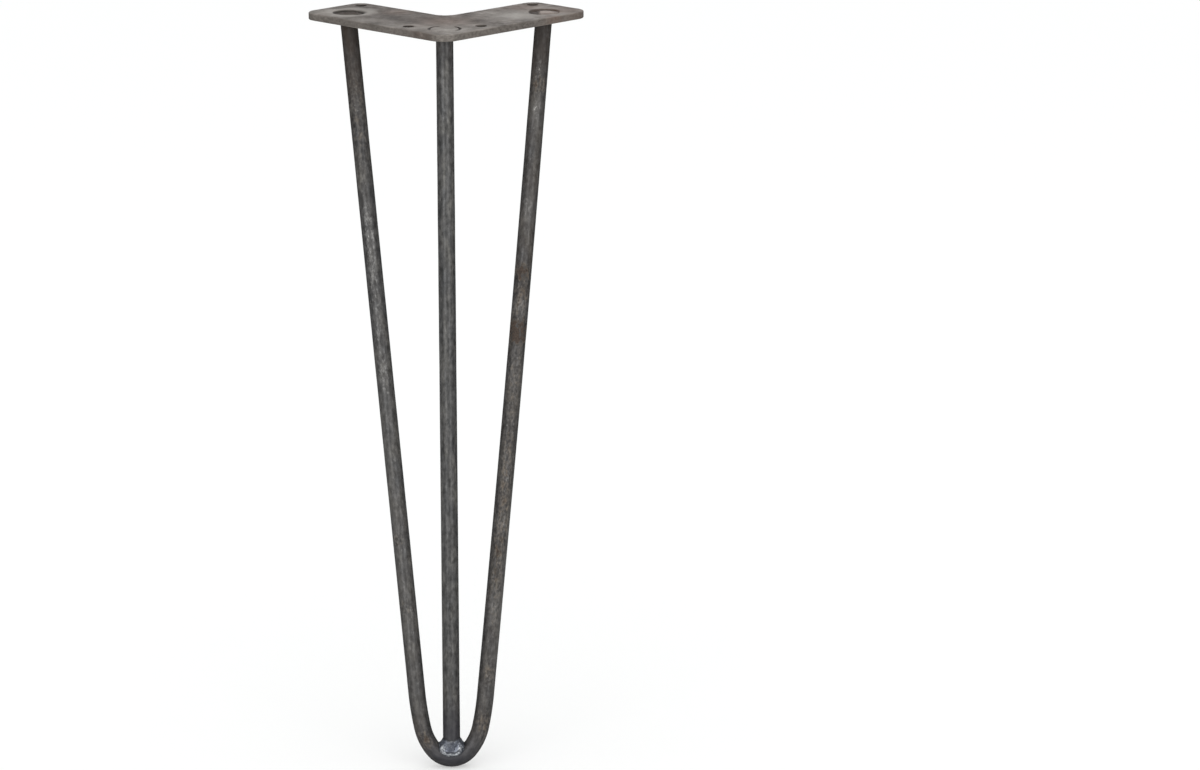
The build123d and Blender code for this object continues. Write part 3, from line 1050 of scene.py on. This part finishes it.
touching_mm = (0.03, 0.25)
nugget_half_width_mm = 7.3
nugget_half_height_mm = 5.4
nugget_middle_mm = 6.3
face_level_mm = 6.9
face_dip_mm = 0.3
lip_height_mm = 0.4
lip_ring = 0.78
lip_ring_width = 0.2
lip_end_mm = (6.0, 9.5)
front_half_mm = (1.0, 3.0)
shoulder_mm = (8.5, 10.5)
shoulder_trim = 0.5
dip_ring = (0.0, 0.6)
calm_ring = (0.45, 0.75)
calm_share = 0.45
joint_reach_mm = (0.1, 1.3)
joint_height_mm = (4.5, 7.0)
glint_side_mm = 0.6
glint_height_mm = 10.0

foot_mesh = welds["foot_weld"]
foot_points = read_points(foot_mesh)
clearance = bar_clearance(foot_points)
free = smooth(clearance, *touching_mm)
from_foot = foot_points - np.array(foot) / mm
sideways = from_foot[:, 0]
upwards = from_foot @ up_way
outwards = from_foot @ front_way
in_front = smooth(outwards, *front_half_mm)
beyond_bar = (np.abs(sideways) - bar_radius / mm).clip(0)
trim = shoulder_trim * beyond_bar * smooth(upwards, *shoulder_mm) * free
ring = np.hypot(sideways / nugget_half_width_mm, (upwards - nugget_middle_mm) / nugget_half_height_mm)
lip = np.exp(-(((ring - lip_ring) / lip_ring_width) ** 2)) * within(upwards, *lip_end_mm) * in_front
face_level = face_level_mm - face_dip_mm * within(ring, *dip_ring) + lip_height_mm * lip
sunk = (outwards - face_level).clip(0) * free
foot_points[:, 0] -= np.sign(sideways) * trim
foot_points -= sunk[:, None] * front_way
write_points(foot_mesh, foot_points)
loose = free * (calm_share + (1 - calm_share) * smooth(ring, *calm_ring))
wrinkle(foot_mesh, facet_height_mm=0.6, facet_size_mm=2.4, ripple_mm=0.12, free=loose)
# Painted highlights: the lip ring and a spot near the top are stored to be painted silvery
glint_away = (sideways - glint_side_mm) ** 2 / 2.0 + (upwards - glint_height_mm) ** 2 / 0.8
painted_crown_glint = np.exp(-glint_away) * in_front
joint = within(clearance, *joint_reach_mm) * smooth(upwards, *joint_height_mm)
store_marks(foot_mesh, "weld_marks", np.maximum(lip, painted_crown_glint), joint)

# %% [markdown]
# ## The plug welds
# Weld metal fills the three seats in the plate. Shading alone could suggest its waves, but the camera looks
# into the seats at a low angle, so the points are moved here too. All three welds get their wrinkles first,
# on the part of the skin that shows. The corner weld was then ground flush: its disc is levelled and spread
# out to the seat's rim, and only where the seam stayed open does a groove remain. The right weld keeps its
# lump, and the floor round the lump is raised, apart from a hollow at its left.

# %% Wrinkles of the plug welds
plug_facet_mm = 2.6
plug_skin_mm = (-2.4, -1.6)
for node, facet_height_mm, ripple_mm in (
    ("corner_plug_weld", 0.0, 0.02),
    ("left_plug_weld", 0.2, 0.12),
    ("right_plug_weld", 0.15, 0.15),
):
    plug_points = read_points(welds[node])
    plug_free = smooth(bar_clearance(plug_points), *touching_mm) * smooth(plug_points[:, 2], *plug_skin_mm)
    wrinkle(welds[node], facet_height_mm, plug_facet_mm, ripple_mm, plug_free)

# %% The corner weld, ground flush
flush_level_mm = 0.02
flush_radius_mm = 9.25
groove_rim_mm = (7.6, 8.2)
groove_depth_mm = 0.4
disc_rim_mm = (7.9, 8.15)
disc_skin_mm = (-0.52, -0.2)
bevel_mm = (-0.52, -0.42)
sink_rim_mm = 9.1
sink_slope = 1.28
sharp_edge = radians(35)

corner_mesh = welds["corner_plug_weld"]
disc = read_points(corner_mesh)
from_middle = np.hypot(disc[:, 0], disc[:, 1])
seam = open_seam(disc)
groove = seam * smooth(from_middle, *groove_rim_mm)
rim = smooth(from_middle, *disc_rim_mm) * smooth(disc[:, 2], *bevel_mm) * (1 - seam)
disc[:, :2] *= (1 + rim * (flush_radius_mm / from_middle.clip(1) - 1))[:, None]
disc_skin = smooth(disc[:, 2], *disc_skin_mm)
disc[:, 2] += (1 - groove) * disc_skin * (flush_level_mm - disc[:, 2])
sink_floor = (from_middle - sink_rim_mm) / sink_slope
lowered = np.maximum(disc[:, 2] - groove_depth_mm * groove * disc_skin, sink_floor)
disc[:, 2] = np.minimum(disc[:, 2], lowered)
write_points(corner_mesh, disc)
corner_mesh.set_sharp_from_angle(angle=sharp_edge)
disc_plan = disc[:, :2]
# Painted shade: the groove of the open seam is darkened in the marks
store_marks(
    corner_mesh,
    "plate_marks",
    dabs_at(disc_plan, bright_dabs),
    np.maximum(dabs_at(disc_plan, dark_and_shade_dabs), soot_and_shade_depth * groove),
    dabs_at(disc_plan, tint_dabs),
)

# %% The right weld's raised floor
raised_by_mm = 0.45
widened_by = 0.076
hollow_side_mm = (1.5, 4.5)
floor_mm = (-1.9, -1.2)
lump_foot_mm = (-0.6, -0.2)
level_back_mm = (3.5, 6.0)

right_mesh = welds["right_plug_weld"]
right_points = read_points(right_mesh)
hollow = smooth(seat_mm[0] - right_points[:, 0], *hollow_side_mm)
raised = (1 - hollow) * smooth(right_points[:, 2], *floor_mm) * within(right_points[:, 2], *lump_foot_mm)
right_points[:, 2] += raised_by_mm * raised
right_points[:, :2] += widened_by * raised[:, None] * (right_points[:, :2] - seat_mm)
write_points(right_mesh, right_points)
from_seat = right_points[:, :2] - seat_mm
level = smooth(from_seat[:, 0], *beside_lump_mm) * within(from_seat[:, 1], *level_back_mm)
store_marks(right_mesh, "weld_marks", level)

# %% [markdown]
# ## Bright weld metal
# Fresh weld metal is cleaner steel than the bars: blue-grey where it cooled slowly. The crumpled lip that
# froze last, a spot near the top and scattered patches are painted silvery, as painted highlights. A plain
# metal would look like chrome, so two sizes of noise break up its tone and its shine, and the joint with
# the centre bar is dark with soot.

# %% Bright weld metal
# A frozen puddle gives the eye small broken highlights on a blue-grey ground; here they are painted into the
# colour.
heat_patch_mm = 4
weld_grain_mm = 0.7
crumple_mm = 1.6
painted_highlight_gain = 0.3
joint_cover = 0.85
weld_metal = new_material("bright_weld_metal")
weld_mm = object_in_mm(weld_metal)
painted_highlight_mark, joint_mark = read_marks(weld_metal, "weld_marks")[:2]
heat = add(weld_metal, "TexNoise", {"Vector": weld_mm, "Scale": 1 / heat_patch_mm, "Detail": 4.0})
weld_grain = add(weld_metal, "TexNoise", {"Vector": weld_mm, "Scale": 1 / weld_grain_mm, "Detail": 4.0})
crumple = add(weld_metal, "TexNoise", {
    "Vector": weld_mm, "Scale": 1 / crumple_mm, "Detail": 3.0, "Distortion": 0.6,
})
heat_stops = [(0.3, "#52565f"), (0.5, "#686c76"), (0.7, "#8a8d93")]
heat_tone = add(weld_metal, "ValToRGB", {"Fac": heat}, heat_stops)
grain_tone = add(weld_metal, "ValToRGB", {"Fac": weld_grain}, [(0.3, "#a0a0a0"), (0.7, "#ffffff")])
weld_tone = add(weld_metal, "Mix", {
    "Factor": 0.6, "A": heat_tone, "B": grain_tone,
}, data_type="RGBA", blend_type="MULTIPLY")
# Painted highlights: silvery patches on the lip, at the spot near the top, and where the crumple noise is
# high
painted_highlight_level = add(weld_metal, "Math", {0: painted_highlight_mark, 1: painted_highlight_gain, 2: crumple}, operation="MULTIPLY_ADD")
painted_highlight_part = add(weld_metal, "MapRange", {"Value": painted_highlight_level, "From Min": 0.62, "From Max": 0.94})
joint_part = add(weld_metal, "Math", {0: joint_mark, 1: joint_cover}, operation="MULTIPLY")
for part, colour in ((painted_highlight_part, linear("#bfc2c5")), (joint_part, linear("#3a3837"))):
    weld_tone = add(weld_metal, "Mix", {"Factor": part, "A": weld_tone, "B": colour}, data_type="RGBA")
weld_metallic = add(weld_metal, "MapRange", {"Value": painted_highlight_part, "To Min": 0.75, "To Max": 0.3})
weld_shine = add(weld_metal, "MapRange", {
    "Value": weld_grain, "From Min": 0.3, "From Max": 0.7, "To Min": 0.3, "To Max": 0.45,
})
weld_bump = add(weld_metal, "Bump", {"Height": weld_grain, "Strength": 0.4, "Distance": 0.1 * mm})
weld_shader = add(weld_metal, "BsdfPrincipled", {
    "Base Color": weld_tone,
    "Metallic": weld_metallic,
    "Roughness": weld_shine,
    "Normal": weld_bump,
})
dress(weld_metal, weld_shader, foot_mesh)

# %% [markdown]
# ## Scaled plug weld
# The plug welds on the arms were left as they froze, under a crust of scale and soot. Handling has rubbed
# the high places pale, and the hollows stay dark. So the colour follows the height below the plate's top
# face, broken up by a crust of noise, and the right weld's raised floor is paler again. This colour by
# height also holds painted shade in the deep parts of the seats and a painted highlight on the high places,
# such as the top of the right weld's lump.

# %% Scaled plug weld
# Scaled weld gives the eye a dull brown-grey, darker the deeper it lies, partly as painted shade.
crust_mm = 2.2
crust_share = 0.6
plug_scale = new_material("scaled_plug_weld")
plug_mm = object_in_mm(plug_scale)
plug_height = add(plug_scale, "SeparateXYZ", {"Vector": plug_mm}).outputs["Z"]
crust = add(plug_scale, "TexNoise", {"Vector": plug_mm, "Scale": 1 / crust_mm, "Detail": 4.0})
# The colour by height is partly crust and rubbing, partly painted shade deep down and a painted highlight up
# high
high = add(plug_scale, "MapRange", {"Value": plug_height, "From Min": -1.0, "From Max": -0.1, "To Max": 0.6})
rubbed_and_lit = add(plug_scale, "Math", {0: crust, 1: crust_share, 2: high}, operation="MULTIPLY_ADD")
plug_stops = [(0.2, "#433b35"), (0.6, "#5e544e"), (0.95, "#a3978f")]
plug_tone = add(plug_scale, "ValToRGB", {"Fac": rubbed_and_lit}, plug_stops)
level_mark = read_marks(plug_scale, "weld_marks")[0]
level_part = add(plug_scale, "Math", {0: level_mark, 1: crust}, operation="MULTIPLY")
levelled = add(plug_scale, "Mix", {
    "Factor": level_part, "A": plug_tone, "B": linear("#9c918a"),
}, data_type="RGBA")
plug_bump = add(plug_scale, "Bump", {"Height": crust, "Strength": 0.5, "Distance": 0.1 * mm})
plug_shader = add(plug_scale, "BsdfPrincipled", {
    "Base Color": levelled,
    "Metallic": 0.2,
    "Roughness": 0.62,
    "Normal": plug_bump,
})
dress(plug_scale, plug_shader, welds["left_plug_weld"], right_mesh)
